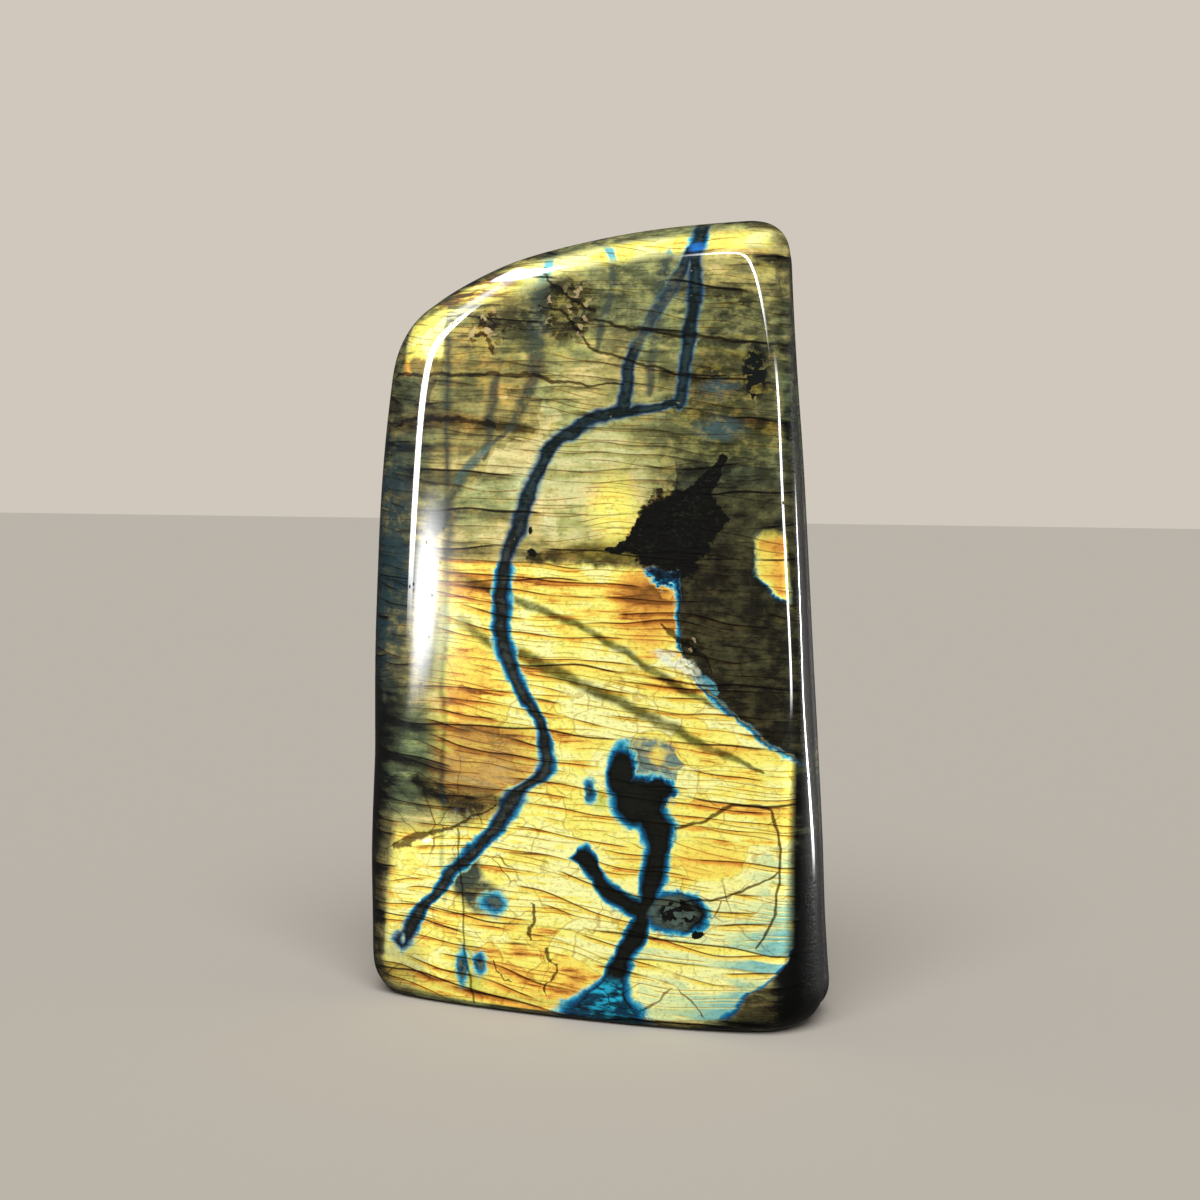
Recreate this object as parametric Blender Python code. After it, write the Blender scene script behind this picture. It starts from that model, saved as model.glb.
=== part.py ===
"""Labradorite freeform: one slab of labradorite, ground to a free outline, polished all over
and sawn flat underneath so that it stands.

Metres, +Z up. The broad show face looks along -Y, and the origin is the middle of the base.
The stone is described the way a lapidary shapes it: an outline seen from the front, a front
and a back face that lean together towards the top, and an edge that is rounded over by
different amounts along each side.
"""

import math
from collections import namedtuple

import bmesh
import bpy

MM = 0.001

# Driving dimensions, in millimetres
HEIGHT = 150.0
HALF_WIDTH = 48.0
FRONT_DEPTH_AT_BASE = 18.6
FRONT_DEPTH_AT_TOP = 12.0
BACK_DEPTH_AT_BASE = 18.0
BACK_DEPTH_AT_TOP = 11.0
FRONT_CROWN_AT_BASE = 4.5
FRONT_CROWN_AT_TOP = 2.0
BACK_CROWN = 4.0
SIDE_BULGE = 0.4
LEAST_SIDE = 1.0

# How finely the surface is divided
OUTLINE_POINTS = 120
ROUND_STEPS = 7
FACE_RINGS = 3
BEND_STEPS = 24
SPACING_PER_TURN = 18.0
SOFTENED_OVER = 6

# One station of the outline. x and z place it, and bend is the length, measured from it
# along either side, over which the outline turns. front_in and front_deep are how far the
# front edge's round-over reaches across the face and into the thickness, back_in and
# back_deep are the same for the back edge, and slant is how much the side leans in from
# the front edge to the back edge.
Station = namedtuple("Station", "x z bend front_in front_deep back_in back_deep slant")

# One point of the finished outline. out is its outward direction, and into is the direction
# in which the rounded edge runs towards the face, softened so that it never crosses itself.
Stop = namedtuple("Stop", "x z out into edge")

# Round the outline from the base's left end, along the base, up the right side, over the
# sloping top and down the left side.
STATIONS = (
    Station(-46.1, 0.0, 8, 7, 10, 6, 9, 0),
    Station(-29.0, 0.0, 1, 2, 4, 2, 4, 0),
    Station(20.0, 0.0, 1, 2, 4, 2, 5, 0),
    Station(47.6, 0.0, 8, 6.5, 12, 7, 11, 1.2),
    Station(47.9, 26.0, 12, 5, 8, 8, 9, 3),
    Station(46.6, 66.0, 20, 3, 3, 7, 8, 3.6),
    Station(43.6, 114.0, 15, 3.5, 3.5, 6, 7, 3.3),
    Station(40.6, HEIGHT, 8, 8, 8, 6, 7, 2.2),
    Station(14.0, 149.2, 14, 9, 8, 7, 8, 0),
    Station(-12.0, 145.3, 12, 10, 9, 7, 8, 0),
    Station(-28.2, 139.9, 10, 15, 10, 8, 9, 0),
    Station(-42.9, 131.4, 10, 20, 12, 10, 9, 0),
    Station(-47.0, 104.0, 15, 21, 13, 14, 11, 0),
    Station(-48.8, 62.0, 15, 19, 13, 14, 12, 0),
    Station(-47.3, 22.0, 12, 10, 10, 9, 10, 0),
)


def clear_scene():
    for obj in list(bpy.data.objects):
        bpy.data.objects.remove(obj)


def blend(low, high, share):
    return low + (high - low) * share


def eased(share):
    """0 to 1 with a level start and end."""
    share = min(1.0, max(0.0, share))
    return share * share * (3 - 2 * share)


def towards(start, end, distance):
    """The point this far from start on the way to end, as (x, z)."""
    length = math.hypot(end.x - start.x, end.z - start.z)
    reach = min(distance, length / 2)
    return (
        start.x + (end.x - start.x) * reach / length,
        start.z + (end.z - start.z) * reach / length,
    )


def bent_path():
    """The outline as close points, and the index in it of each station's bend."""
    points, middles = [], []
    for i, station in enumerate(STATIONS):
        start = towards(station, STATIONS[i - 1], station.bend)
        end = towards(station, STATIONS[(i + 1) % len(STATIONS)], station.bend)
        middles.append(len(points) + BEND_STEPS // 2)
        for step in range(BEND_STEPS + 1):
            t = step / BEND_STEPS
            a, b, c = (1 - t) ** 2, 2 * t * (1 - t), t * t
            points.append(
                (
                    a * start[0] + b * station.x + c * end[0],
                    a * start[1] + b * station.z + c * end[1],
                )
            )
    return points, middles


def heading(a, b):
    return math.atan2(b[1] - a[1], b[0] - a[0])


def travelled(points):
    """How far each point lies along the closed path, where a turn counts as extra length
    so that evenly spaced points crowd together in the bends."""
    distances = [0.0]
    count = len(points)
    for i in range(count):
        here, after, beyond = points[i], points[(i + 1) % count], points[(i + 2) % count]
        length = math.dist(here, after)
        turn = 0.0
        if length > 1e-6 and math.dist(after, beyond) > 1e-6:
            turn = heading(after, beyond) - heading(here, after)
            turn = abs(math.atan2(math.sin(turn), math.cos(turn)))
        distances.append(distances[-1] + length + SPACING_PER_TURN * turn)
    return distances


def edge_at(distance, marks, total):
    """The round-over and slant at this distance, eased from one station to the next."""
    count = len(marks)
    for i in range(count):
        start = marks[i]
        end = marks[(i + 1) % count] + (total if i + 1 == count else 0.0)
        for place in (distance, distance + total):
            if start <= place <= end:
                share = eased((place - start) / (end - start))
                low, high = STATIONS[i], STATIONS[(i + 1) % count]
                return [blend(low[k], high[k], share) for k in range(3, 8)]
    raise ValueError("the distance lies on no stretch of the outline")


def unit(x, z):
    length = math.hypot(x, z)
    return x / length, z / length


def outline():
    """Stops round the stone, close together in the bends."""
    points, middles = bent_path()
    distances = travelled(points)
    total = distances[-1]
    marks = [distances[i] for i in middles]
    places, edges = [], []
    index = 0
    for k in range(OUTLINE_POINTS):
        distance = total * k / OUTLINE_POINTS
        while distances[index + 1] < distance:
            index += 1
        here, after = points[index], points[(index + 1) % len(points)]
        share = (distance - distances[index]) / (distances[index + 1] - distances[index])
        places.append((blend(here[0], after[0], share), blend(here[1], after[1], share)))
        edges.append(edge_at(distance, marks, total))
    outs = []
    for k, here in enumerate(places):
        before, after = places[k - 1], places[(k + 1) % OUTLINE_POINTS]
        if max(before[1], here[1], after[1]) < 1e-6:
            outs.append((0.0, -1.0))
        else:
            outs.append(unit(after[1] - before[1], before[0] - after[0]))
    stops = []
    for k, (x, z) in enumerate(places):
        near = [outs[(k + j) % OUTLINE_POINTS] for j in range(-SOFTENED_OVER, SOFTENED_OVER + 1)]
        into = unit(-sum(out[0] for out in near), -sum(out[1] for out in near))
        stops.append(Stop(x, z, outs[k], into, edges[k]))
    return stops


def front_depth(x, z):
    """How far in front of the middle plane the show face stands."""
    up = z / HEIGHT
    crown = blend(FRONT_CROWN_AT_BASE, FRONT_CROWN_AT_TOP, up)
    return blend(FRONT_DEPTH_AT_BASE, FRONT_DEPTH_AT_TOP, up) - crown * (x / HALF_WIDTH) ** 2


def back_depth(x, z):
    up = z / HEIGHT
    return blend(BACK_DEPTH_AT_BASE, BACK_DEPTH_AT_TOP, up) - BACK_CROWN * (x / HALF_WIDTH) ** 2


def edge_ring(stops, angle, front):
    """The ring of points where the round-over has turned this far, from 0 at the side to a
    right angle where it runs into the face."""
    ring = []
    for stop in stops:
        front_in, front_deep, back_in, back_deep, slant = stop.edge
        reach, deep, lean = (front_in, front_deep, 0.0) if front else (back_in, back_deep, slant)
        inset = lean + reach * (1 - math.cos(angle))
        x, z = stop.x + stop.into[0] * inset, stop.z + stop.into[1] * inset
        depth = front_depth(x, z) if front else back_depth(x, z)
        deep = min(deep, depth - LEAST_SIDE)
        y = depth - deep * (1 - math.sin(angle))
        ring.append((x, -y if front else y, z))
    return ring


def side_ring(stops, front_ring, back_ring):
    """The middle of the side, which bulges a little except under the base."""
    ring = []
    for stop, a, b in zip(stops, front_ring, back_ring):
        bulge = SIDE_BULGE * (1 - eased(-stop.out[1]))
        x, y, z = ((a[k] + b[k]) / 2 for k in range(3))
        ring.append((x + stop.out[0] * bulge, y, z + stop.out[1] * bulge))
    return ring


def face_rings(rim, depth, facing):
    """Rings from just inside the rim to the middle of a face, and the middle itself."""
    centre_x = sum(p[0] for p in rim) / len(rim)
    centre_z = sum(p[2] for p in rim) / len(rim)
    rings = []
    for k in range(1, FACE_RINGS + 1):
        size = 1 - k / (FACE_RINGS + 1)
        ring = []
        for x, _, z in rim:
            px = centre_x + (x - centre_x) * size
            pz = centre_z + (z - centre_z) * size
            ring.append((px, facing * depth(px, pz), pz))
        rings.append(ring)
    return rings, (centre_x, facing * depth(centre_x, centre_z), centre_z)


def stone_rings():
    """All rings from the middle of the show face to the middle of the back."""
    stops = outline()
    angles = [math.pi / 2 * k / ROUND_STEPS for k in range(ROUND_STEPS + 1)]
    front_edge = [edge_ring(stops, angle, True) for angle in reversed(angles)]
    back_edge = [edge_ring(stops, angle, False) for angle in angles]
    side = side_ring(stops, front_edge[-1], back_edge[0])
    front_face, front_middle = face_rings(front_edge[0], front_depth, -1)
    back_face, back_middle = face_rings(back_edge[-1], back_depth, 1)
    rings = front_face[::-1] + front_edge + [side] + back_edge + back_face
    return front_middle, rings, back_middle


def centred(points):
    """The points moved so that the middle of their box is over the origin, in metres."""
    middle = [(min(p[k] for p in points) + max(p[k] for p in points)) / 2 for k in range(2)]
    return [((x - middle[0]) * MM, (y - middle[1]) * MM, z * MM) for x, y, z in points]


def build_stone():
    front_middle, rings, back_middle = stone_rings()
    points = centred([front_middle] + [p for ring in rings for p in ring] + [back_middle])
    bm = bmesh.new()
    verts = [bm.verts.new(p) for p in points]
    loops = [verts[1 + k * OUTLINE_POINTS :][:OUTLINE_POINTS] for k in range(len(rings))]
    for inner, outer in zip(loops, loops[1:]):
        for i in range(OUTLINE_POINTS):
            j = (i + 1) % OUTLINE_POINTS
            bm.faces.new((inner[i], inner[j], outer[j], outer[i]))
    for i in range(OUTLINE_POINTS):
        j = (i + 1) % OUTLINE_POINTS
        bm.faces.new((verts[0], loops[0][j], loops[0][i]))
        bm.faces.new((verts[-1], loops[-1][i], loops[-1][j]))
    bmesh.ops.recalc_face_normals(bm, faces=bm.faces)
    mesh = bpy.data.meshes.new("stone")
    bm.to_mesh(mesh)
    bm.free()
    mesh.shade_smooth()
    stone = bpy.data.objects.new("stone", mesh)
    bpy.context.scene.collection.objects.link(stone)
    return stone


def polished_labradorite():
    material = bpy.data.materials.new("polished_labradorite")
    material.use_nodes = True
    shader = material.node_tree.nodes["Principled BSDF"]
    shader.inputs["Base Color"].default_value = (0.42, 0.34, 0.14, 1)
    shader.inputs["Roughness"].default_value = 0.12
    shader.inputs["Metallic"].default_value = 0.0
    shader.inputs["Coat Weight"].default_value = 1.0
    return material


clear_scene()
build_stone().data.materials.append(polished_labradorite())
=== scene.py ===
# %% [markdown]
# # A labradorite freeform
# This lesson dresses one polished stone: a slab of labradorite that was sawn flat underneath,
# ground to a free outline and polished all over. Its simple solid is already in the frame, so
# the work here is a finer surface, the flash inside the stone, and light that suits a polish.
# Places on the stone are in millimetres: x to the right, y to the back and z up.

# %% Load the frame
import math

import bmesh
import bpy
import numpy as np
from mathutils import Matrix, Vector, noise


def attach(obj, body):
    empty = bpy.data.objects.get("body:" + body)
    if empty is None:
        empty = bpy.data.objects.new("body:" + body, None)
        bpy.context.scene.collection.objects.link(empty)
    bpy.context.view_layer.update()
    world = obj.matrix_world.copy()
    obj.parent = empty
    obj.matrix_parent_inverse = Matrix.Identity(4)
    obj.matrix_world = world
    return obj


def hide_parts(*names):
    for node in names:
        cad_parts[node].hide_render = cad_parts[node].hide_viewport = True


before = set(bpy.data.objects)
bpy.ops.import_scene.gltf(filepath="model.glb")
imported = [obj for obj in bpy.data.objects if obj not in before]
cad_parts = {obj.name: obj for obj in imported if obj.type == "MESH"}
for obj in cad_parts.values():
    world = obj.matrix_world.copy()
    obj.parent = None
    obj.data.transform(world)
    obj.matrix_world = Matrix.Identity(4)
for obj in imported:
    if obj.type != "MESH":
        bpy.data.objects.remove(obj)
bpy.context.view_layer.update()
MM = 0.001

# %% [markdown]
# ## The camera
# The stone was photographed from a little to its right, just above its middle, with a long
# lens. A long lens from half a metre keeps the upright edges almost parallel. The camera is
# placed first, so that every later step can be judged from the view that matters.

# %% Camera
AIM = Vector((1.3, 0, 78.5)) * MM
CAMERA_TURN = 26
CAMERA_RISE = 3.5
CAMERA_DISTANCE = 465 * MM
LENS = 72
CLIP_START = 10 * MM


def direction(turn, rise):
    """Unit vector from the stone: turn 0 is the front, 90 the right side, in degrees."""
    a, e = math.radians(turn), math.radians(rise)
    return Vector((math.sin(a) * math.cos(e), -math.cos(a) * math.cos(e), math.sin(e)))


def look_at(obj, target):
    obj.rotation_euler = (target - obj.location).to_track_quat("-Z", "Y").to_euler()


def placed(name, data):
    """A new object in the scene."""
    obj = bpy.data.objects.new(name, data)
    bpy.context.scene.collection.objects.link(obj)
    return obj


camera = placed("camera", bpy.data.cameras.new("camera"))
camera.data.lens = LENS
camera.data.clip_start = CLIP_START
camera.location = AIM + direction(CAMERA_TURN, CAMERA_RISE) * CAMERA_DISTANCE
look_at(camera, AIM)
bpy.context.scene.camera = camera
print("camera height, mm:", round(camera.location.z / MM))

# %% [markdown]
# ## The outline
# A lapidary first saws a slab and grinds its outline free-hand. A few stations describe it,
# each with the length over which the outline bends there, and with how far the edge is rounded
# over at the front and the back. Between stations everything is eased, as a hand on a grinding
# wheel would do it. A curve object could draw the outline too, but the round-over changes all
# the way round, and that is easier to control point by point.

# %% Stations
HEIGHT = 150
HALF_WIDTH = 48

# x, z, bend, front reach and depth, back reach and depth, lean of the side
STATIONS = np.array([
    (-46.1, 0, 8, 7, 10, 6, 9, 0),
    (-29, 0, 1, 2, 4, 2, 4, 0),
    (20, 0, 1, 2, 4, 2, 5, 0),
    (47.6, 0, 8, 6.5, 12, 7, 11, 1.2),
    (47.9, 26, 12, 5, 8, 8, 9, 3),
    (46.6, 66, 20, 3, 3, 7, 8, 3.6),
    (43.6, 114, 15, 3.5, 3.5, 6, 7, 3.3),
    (40.6, HEIGHT, 8, 8, 8, 6, 7, 2.2),
    (14, 149.2, 14, 9, 8, 7, 8, 0),
    (-12, 145.3, 12, 10, 9, 7, 8, 0),
    (-28.2, 139.9, 10, 15, 10, 8, 9, 0),
    (-42.9, 131.4, 10, 20, 12, 10, 9, 0),
    (-47, 104, 15, 21, 13, 14, 11, 0),
    (-48.8, 62, 15, 19, 13, 14, 12, 0),
    (-47.3, 22, 12, 10, 10, 9, 10, 0),
])


# %% Bends
BEND_STEPS = 40
SAME_PLACE = 1e-3


def eased(share):
    """0 to 1 with a level start and end."""
    share = np.clip(share, 0, 1)
    return share * share * (3 - 2 * share)


def bent_path():
    """Close points along the outline, and which of them is the middle of each bend."""
    corners, bends = STATIONS[:, :2], STATIONS[:, 2]
    t = np.linspace(0, 1, BEND_STEPS + 1)[:, None]
    path, middles = [], []
    for i, corner in enumerate(corners):
        before, after = corners[i - 1], corners[(i + 1) % len(corners)]
        ends = []
        for other in (before, after):
            length = np.linalg.norm(other - corner)
            ends.append(corner + (other - corner) * min(bends[i], length / 2) / length)
        middles.append(len(path) * (BEND_STEPS + 1) + BEND_STEPS // 2)
        path.append((1 - t) ** 2 * ends[0] + 2 * t * (1 - t) * corner + t * t * ends[1])
    path = np.concatenate(path)
    # Where two bends meet, their ends fall together, so one of them is moved on
    for i in range(1, len(path)):
        if np.linalg.norm(path[i] - path[i - 1]) < SAME_PLACE:
            path[i] += (path[i + 1] - path[i]) * 0.5
    return path, middles


# %% Points along the outline
OUTLINE_POINTS = 540
SPACING_PER_TURN = 18  # a turn counts as extra length, so points crowd together in bends
SOFTENED_OVER = 27
NO_LENGTH = 1e-6


def outline():
    """Spaced places, their outward and inward directions, and the edge values at each."""
    path, middles = bent_path()
    steps = np.roll(path, -1, axis=0) - path
    lengths = np.linalg.norm(steps, axis=1)
    angles = np.unwrap(np.arctan2(steps[:, 1], steps[:, 0]))
    turns = np.abs(np.diff(angles, append=angles[0] + 2 * math.pi))
    turns[lengths < NO_LENGTH] = 0
    along = np.concatenate([[0], np.cumsum(lengths + SPACING_PER_TURN * turns)])
    at = along[-1] * np.arange(OUTLINE_POINTS) / OUTLINE_POINTS
    closed = np.vstack([path, path[:1]])
    places = np.stack([np.interp(at, along, closed[:, k]) for k in range(2)], axis=1)
    tangents = np.roll(places, -1, axis=0) - np.roll(places, 1, axis=0)
    tangents /= np.linalg.norm(tangents, axis=1)[:, None]
    outward = np.stack([tangents[:, 1], -tangents[:, 0]], axis=1)
    near = range(-SOFTENED_OVER, SOFTENED_OVER + 1)
    inward = -sum(np.roll(outward, j, axis=0) for j in near)
    inward /= np.linalg.norm(inward, axis=1)[:, None]
    marks = along[middles]
    marks = np.append(marks, marks[0] + along[-1])
    values = np.vstack([STATIONS[:, 3:], STATIONS[:1, 3:]])
    at = np.where(at < marks[0], at + along[-1], at)
    low = np.searchsorted(marks, at, side="right") - 1
    low = np.minimum(low, len(marks) - 2)
    share = eased((at - marks[low]) / (marks[low + 1] - marks[low]))[:, None]
    return places, outward, inward, values[low] * (1 - share) + values[low + 1] * share


places, outward, inward, edges = outline()
print("outline points:", len(places), "width, mm:", round(np.ptp(places[:, 0]), 1))

# %% [markdown]
# ## The surface
# The stone is thicker at the base than at the top, both faces bulge a little, and the edge is
# part of an ellipse whose size follows the stations. The surface is built as closed rings, from
# the middle of the front face over the edge to the middle of the back. A cube with modifiers
# could be pushed into the same shape, but rings keep the polish free of waves.

# %% Faces and edge
FACE_RINGS = 58
LEAST_SIDE = 1
FRONT = dict(base=18.6, top=12, crown_base=4.5, crown_top=2, facing=-1)
BACK = dict(base=18, top=11, crown_base=4, crown_top=4, facing=1)


def depth(face, x, z):
    """How far the face stands from the middle plane."""
    up = z / HEIGHT
    crown = face["crown_base"] + (face["crown_top"] - face["crown_base"]) * up
    return face["base"] + (face["top"] - face["base"]) * up - crown * (x / HALF_WIDTH) ** 2


def edge_ring(face, angle):
    """The ring where the round-over has turned this far, from 0 at the side."""
    reach, deep = (edges[:, 0], edges[:, 1]) if face is FRONT else (edges[:, 2], edges[:, 3])
    lean = 0 if face is FRONT else edges[:, 4]
    inset = lean + reach * (1 - math.cos(angle))
    x, z = (places + inward * inset[:, None]).T
    whole = depth(face, x, z)
    y = whole - np.minimum(deep, whole - LEAST_SIDE) * (1 - math.sin(angle))
    return np.stack([x, face["facing"] * y, z], axis=1)


def face_rings(face, rim):
    """Rings from the rim towards the middle of a face, the middle itself last."""
    middle = rim[:, [0, 2]].mean(axis=0)
    rings = []
    for size in np.linspace(1, 0, FACE_RINGS + 2)[1:-1]:
        x, z = (middle + (rim[:, [0, 2]] - middle) * size).T
        rings.append(np.stack([x, face["facing"] * depth(face, x, z), z], axis=1))
    return rings, np.array([middle[0], face["facing"] * depth(face, *middle), middle[1]])


# %% Rings from front to back
ROUND_STEPS = 16
SIDE_STEPS = 6
SIDE_BULGE = 0.4
POLISHED_OVER = 0.75
POLISH_ROUNDS = 2


def softened(ring, amount):
    """The ring with its corners rounded, as polishing does most where it reaches furthest."""
    reach = round(SOFTENED_OVER * POLISHED_OVER * amount)
    near = range(-reach, reach + 1)
    for _ in range(POLISH_ROUNDS):
        ring = sum(np.roll(ring, j, axis=0) for j in near) / len(near)
    return ring


def stone_points():
    angles = np.linspace(0, math.pi / 2, ROUND_STEPS + 1)
    front_edge = [softened(edge_ring(FRONT, a), 1 - math.cos(a)) for a in angles[::-1]]
    back_edge = [softened(edge_ring(BACK, a), 1 - math.cos(a)) for a in angles]
    side = []
    bulge = SIDE_BULGE * (1 - eased(-outward[:, 1]))
    for share in np.linspace(0, 1, SIDE_STEPS + 1)[1:-1]:
        ring = front_edge[-1] * (1 - share) + back_edge[0] * share
        ring[:, [0, 2]] += outward * (bulge * math.sin(math.pi * share))[:, None]
        side.append(ring)
    front, front_middle = face_rings(FRONT, front_edge[0])
    back, back_middle = face_rings(BACK, back_edge[-1])
    rings = front[::-1] + front_edge + side + back_edge + back
    points = np.vstack([front_middle, *rings, back_middle])
    points[:, :2] -= (points[:, :2].min(axis=0) + points[:, :2].max(axis=0)) / 2
    return points, len(rings)


points, ring_count = stone_points()
print("rings:", ring_count, "points:", len(points))

# %% [markdown]
# ## Shallow dents
# Polishing wears hard feldspar down evenly, but it tears grains out where cracks and other
# minerals reach the surface. There the show face sinks by a few tenths of a millimetre and its
# floor is uneven. A bump texture could pretend this, but then the mesh would stay smooth, so
# the points themselves are moved.

# %% Dents
SHOW_FACE = -5  # only points in front of this y are moved
UNEVEN = 0.4  # how fast the depth changes

# middle x and z, radii, and depth
DENTS = [
    (-17, 130, 4.6, 4.6, 0.3), (1, 133.5, 5.5, 5, 0.25), (26.8, 68, 2.6, 6, 0.3),
    (-21, 39.5, 9, 3, 0.18), (-29, 32.5, 8, 1.6, 0.25), (38.2, 121.3, 2.6, 4.8, 0.15),
    (21, 92, 8.5, 6.5, 0.15)]
dented = 0
for middle_x, middle_z, radius_x, radius_z, deepest in DENTS:
    off = ((points[:, 0] - middle_x) / radius_x) ** 2 + ((points[:, 2] - middle_z) / radius_z) ** 2
    for i in np.flatnonzero((off < 1) & (points[:, 1] < SHOW_FACE)):
        uneven = 0.7 + 0.6 * noise.noise(Vector(points[i] * UNEVEN))
        points[i, 1] += deepest * (1 - off[i]) ** 2 * uneven
        dented += 1
print("points moved by dents:", dented)

# %% [markdown]
# ## The mesh
# The rings become one closed skin of four-sided faces, with a fan of triangles in the middle of
# the front and the back. Faces could be made one by one with bmesh, but `from_pydata` takes
# plain lists and is much quicker.

# %% Mesh
def stone_faces():
    """The faces, each a tuple of point numbers."""
    count = OUTLINE_POINTS
    faces = []
    for ring in range(ring_count - 1):
        inner, outer = 1 + ring * count, 1 + (ring + 1) * count
        for i in range(count):
            j = (i + 1) % count
            faces.append((inner + i, inner + j, outer + j, outer + i))
    last = 1 + (ring_count - 1) * count
    for i in range(count):
        j = (i + 1) % count
        faces.append((0, 1 + j, 1 + i))
        faces.append((len(points) - 1, last + i, last + j))
    return faces


mesh = bpy.data.meshes.new("polished_stone")
mesh.from_pydata([tuple(p) for p in points * MM], [], stone_faces())
mesh.update()
bm = bmesh.new()
bm.from_mesh(mesh)
bmesh.ops.recalc_face_normals(bm, faces=bm.faces)
bm.to_mesh(mesh)
bm.free()
mesh.shade_smooth()
stone = placed("polished_stone", mesh)
print("points:", len(mesh.vertices), "triangles:", sum(len(p.vertices) - 2 for p in mesh.polygons))

# %% [markdown]
# ## Tools for drawing inside a stone
# The pattern is made of nodes, but wiring hundreds of them by hand hides the idea. These few
# helpers let a pattern be written as a formula: a `Value` can be added and multiplied like a
# number, `curve` draws a smooth line through a few points, and `band` measures how far a place
# is from such a line. An image would be quicker, but nodes stay sharp at any distance and also
# run round the edges.

# %% Nodes as numbers
def work_on(owner):
    """From now on the helpers work on the nodes of this material, world or light."""
    global tree
    owner.use_nodes = True
    tree = owner.node_tree
    return tree.nodes


def report(step):
    print(f"{step}: {len(tree.nodes)} nodes so far")


def add(kind, **settings):
    """A new node of this kind."""
    node = tree.nodes.new("ShaderNode" + kind)
    for name, value in settings.items():
        setattr(node, name, value)
    return node


class Value:
    """A number, vector or colour on its way through the nodes."""

    def __init__(self, socket):
        self.socket = socket

    def __add__(self, other):
        return calc("ADD", self, other)

    def __sub__(self, other):
        return calc("SUBTRACT", self, other)

    def __rsub__(self, other):
        return calc("SUBTRACT", other, self)

    def __mul__(self, other):
        return calc("MULTIPLY", self, other)

    def __truediv__(self, other):
        return calc("DIVIDE", self, other)

    __radd__, __rmul__ = __add__, __mul__


def feed(socket, value):
    """Links a value to the socket, or sets a plain number there."""
    if isinstance(value, Value):
        tree.links.new(value.socket, socket)
    else:
        socket.default_value = value


def set_all(node, numbers):
    for name, number in numbers.items():
        node.inputs[name].default_value = number


def feed_all(node, *values):
    """Feeds the first sockets of the node in order and gives its first result."""
    for socket, value in zip(node.inputs, values):
        feed(socket, value)
    return Value(node.outputs[0])


def calc(operation, *values):
    return feed_all(add("Math", operation=operation), *values)


# %% Helpers for numbers
def lowest(*values, operation="MINIMUM"):
    result = values[0]
    for value in values[1:]:
        result = calc(operation, result, value)
    return result


def highest(*values):
    return lowest(*values, operation="MAXIMUM")


def fade(value, start, end, low=0, high=1):
    """Eases from low to high while the value goes from start to end."""
    node = add("MapRange", interpolation_type="SMOOTHSTEP")
    return feed_all(node, value, start, end, low, high)


def between(start, end, share):
    return start + (end - start) * share


# %% Helpers for places
def scaled(vector, factors, shift=(0, 0, 0)):
    return feed_all(add("VectorMath", operation="MULTIPLY_ADD"), vector, factors, shift)


def vector(x, y, z):
    return feed_all(add("CombineXYZ"), x, y, z)


def split(value):
    node = add("SeparateXYZ")
    feed(node.inputs[0], value)
    return [Value(socket) for socket in node.outputs]


# %% Helpers for textures
def clouds(place, scale, detail=2, rough=0.5, colour=False):
    """Soft noise around 0.5, with about scale blobs per millimetre."""
    node = add("TexNoise")
    feed(node.inputs["Vector"], place)
    set_all(node, {"Scale": scale, "Detail": detail, "Roughness": rough})
    return Value(node.outputs["Color" if colour else "Fac"])


def cells(place, scale, feature="DISTANCE_TO_EDGE"):
    """How far a place is from the border, or with F1 from the middle, of its cell."""
    node = add("TexVoronoi", feature=feature)
    feed(node.inputs["Vector"], place)
    node.inputs["Scale"].default_value = scale
    return Value(node.outputs["Distance"])


def flakes(place, scale):
    """Cells with a random number each, and how far a place is from the middle of its cell."""
    node = add("TexVoronoi", feature="F1")
    feed(node.inputs["Vector"], place)
    node.inputs["Scale"].default_value = scale
    parts = add("SeparateColor")
    feed(parts.inputs[0], Value(node.outputs["Color"]))
    return Value(parts.outputs[0]), Value(node.outputs["Distance"])


# %% Helpers for colour
def mixed(under, over, amount, blend_type):
    node = add("Mix", data_type="RGBA", blend_type=blend_type, clamp_factor=True)
    for index, value in ((0, amount), (6, under), (7, over)):
        feed(node.inputs[index], (*value, 1) if isinstance(value, tuple) else value)
    return Value(node.outputs[2])


def paint(over, amount):
    """Covers the colour so far."""
    global colour
    colour = mixed(colour, over, amount, "MIX")


def tint(over, amount):
    """Multiplies the colour so far, like a stain."""
    global colour
    colour = mixed(colour, over, amount, "MULTIPLY")


# %% Helpers for drawing
NO_CHANGE = 1e-6


def curve(value, points):
    """A smooth line drawn through (value, result) points."""
    results = [r for _, r in points]
    first, last, low, high = points[0][0], points[-1][0], min(results), max(results)
    if high - low < NO_CHANGE:
        return low
    share = calc("MULTIPLY_ADD", value, 1 / (last - first), -first / (last - first))
    node = add("FloatCurve")
    drawn = node.mapping.curves[0].points
    while len(drawn) < len(points):
        drawn.new(0.5, 0.5)
    for handle, (at, result) in zip(drawn, points):
        handle.location = ((at - first) / (last - first), (result - low) / (high - low))
    node.mapping.extend = "HORIZONTAL"
    node.mapping.update()
    feed(node.inputs["Value"], share)
    return calc("MULTIPLY_ADD", Value(node.outputs[0]), high - low, low)


def band(along, across, points):
    """How many half-widths a place is from a line through (along, across, half width)."""
    middle = curve(along, [(a, b) for a, b, _ in points])
    width = curve(along, [(a, w) for a, _, w in points])
    beyond = highest(points[0][0] - along, along - points[-1][0])
    off = calc("ABSOLUTE", across - middle) + highest(beyond, 0)
    return off / width


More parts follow.
